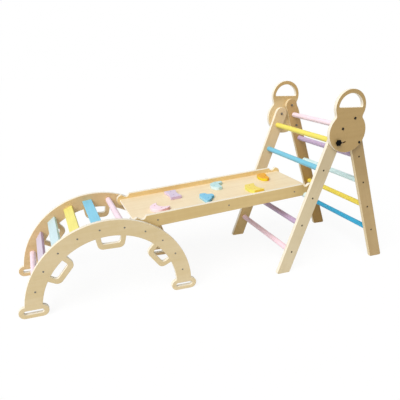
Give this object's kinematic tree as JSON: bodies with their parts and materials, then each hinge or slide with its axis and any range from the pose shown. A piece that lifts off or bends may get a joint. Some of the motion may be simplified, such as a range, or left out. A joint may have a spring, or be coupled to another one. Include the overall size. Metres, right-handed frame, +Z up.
{
  "type": "climbing frame",
  "caption": "Wooden toddler climbing set: a folding triangle ladder with round head plates, a ramp with climbing holds, and a slatted arch with finger loops.",
  "frame": {"origin": "middle of the bounding box at floor level", "axes": "+Z up; +X along the row from the arch to the ladder; +Y from the side with the camera to the far side"},
  "size_m": [1.9216, 0.601, 0.9298],
  "materials": {
    "birch_ply": "clear satin varnish on birch plywood",
    "board_ply": "clear satin varnish on pale birch plywood",
    "paint_pink": "satin pastel pink paint",
    "paint_lilac": "satin pastel lilac paint",
    "paint_mint": "satin pastel mint paint",
    "paint_yellow": "satin yellow paint",
    "paint_blue": "satin sky blue paint",
    "paint_orange": "satin orange paint",
    "steel": "zinc plated",
    "knob_plastic": "moulded, fine texture"
  },
  "bodies": {
    "front_ladder": {"front_leg_far": "birch_ply", "front_leg_near": "birch_ply", "front_rung_blue": "paint_blue", "front_rung_lilac": "paint_lilac", "front_rung_mint": "paint_mint", "front_rung_pink": "paint_pink", "front_rung_yellow": "paint_yellow"},
    "back_ladder": {"back_leg_far": "birch_ply", "back_leg_near": "birch_ply", "back_rung_blue": "paint_blue", "back_rung_lilac": "paint_lilac", "back_rung_mint": "paint_mint", "back_rung_pink": "paint_pink", "back_rung_yellow": "paint_yellow", "head_plate_far": "birch_ply", "head_plate_near": "birch_ply", "lower_back_bolt_far": "steel", "lower_back_bolt_near": "steel", "lower_back_nut_far": "steel", "lower_back_nut_near": "steel", "pivot_bolt_far": "steel", "pivot_bolt_near": "steel", "pivot_nut_far": "steel", "pivot_nut_near": "steel", "upper_back_bolt_far": "steel", "upper_back_bolt_near": "steel", "upper_back_nut_far": "steel", "upper_back_nut_near": "steel"},
    "near_knob": {"clamp_knob_near": "knob_plastic", "clamp_stud_near": "steel", "clamp_washer_near": "steel"},
    "far_knob": {"clamp_knob_far": "knob_plastic", "clamp_stud_far": "steel", "clamp_washer_far": "steel"},
    "ramp": {"hold_block_lilac": "paint_lilac", "hold_boot_blue": "paint_blue", "hold_crescent_pink": "paint_pink", "hold_fan_yellow": "paint_yellow", "hold_heart_orange": "paint_orange", "hold_hook_mint": "paint_mint", "ramp_board": "board_ply", "ramp_rail_far": "birch_ply", "ramp_rail_near": "birch_ply"},
    "arch": {"arch_panel_far": "birch_ply", "arch_panel_near": "birch_ply", "arch_rung_10_blue": "paint_blue", "arch_rung_1_pink": "paint_pink", "arch_rung_6_pink": "paint_pink", "arch_rung_7_lilac": "paint_lilac", "arch_slat_2_lilac": "paint_lilac", "arch_slat_3_mint": "paint_mint", "arch_slat_4_yellow": "paint_yellow", "arch_slat_5_blue": "paint_blue", "arch_slat_8_mint": "paint_mint", "arch_slat_9_yellow": "paint_yellow"}
  },
  "joints": [
    {"name": "ladder_fold", "type": "hinge", "parent": "front_ladder", "child": "back_ladder", "pos_m": [0.54945, 0, 0.744], "axis": [0, 1, 0], "range_deg": [0, 39.5]},
    {"name": "near_knob_turn", "type": "hinge", "parent": "front_ladder", "child": "near_knob", "pos_m": [0.52811, -0.2885, 0.6787], "axis": [0, 1, 0], "continuous": true},
    {"name": "far_knob_turn", "type": "hinge", "parent": "front_ladder", "child": "far_knob", "pos_m": [0.52811, 0.2885, 0.6787], "axis": [0, 1, 0], "continuous": true},
    {"name": "ramp_lift", "type": "slide", "parent": "front_ladder", "child": "ramp", "axis": [-0.309, 0, 0.9511], "range_m": [0, 0.35]},
    {"name": "arch_shift", "type": "slide", "parent": "front_ladder", "child": "arch", "axis": [0, 1, 0], "range_m": [-0.0035, 0.0095]}
  ]
}
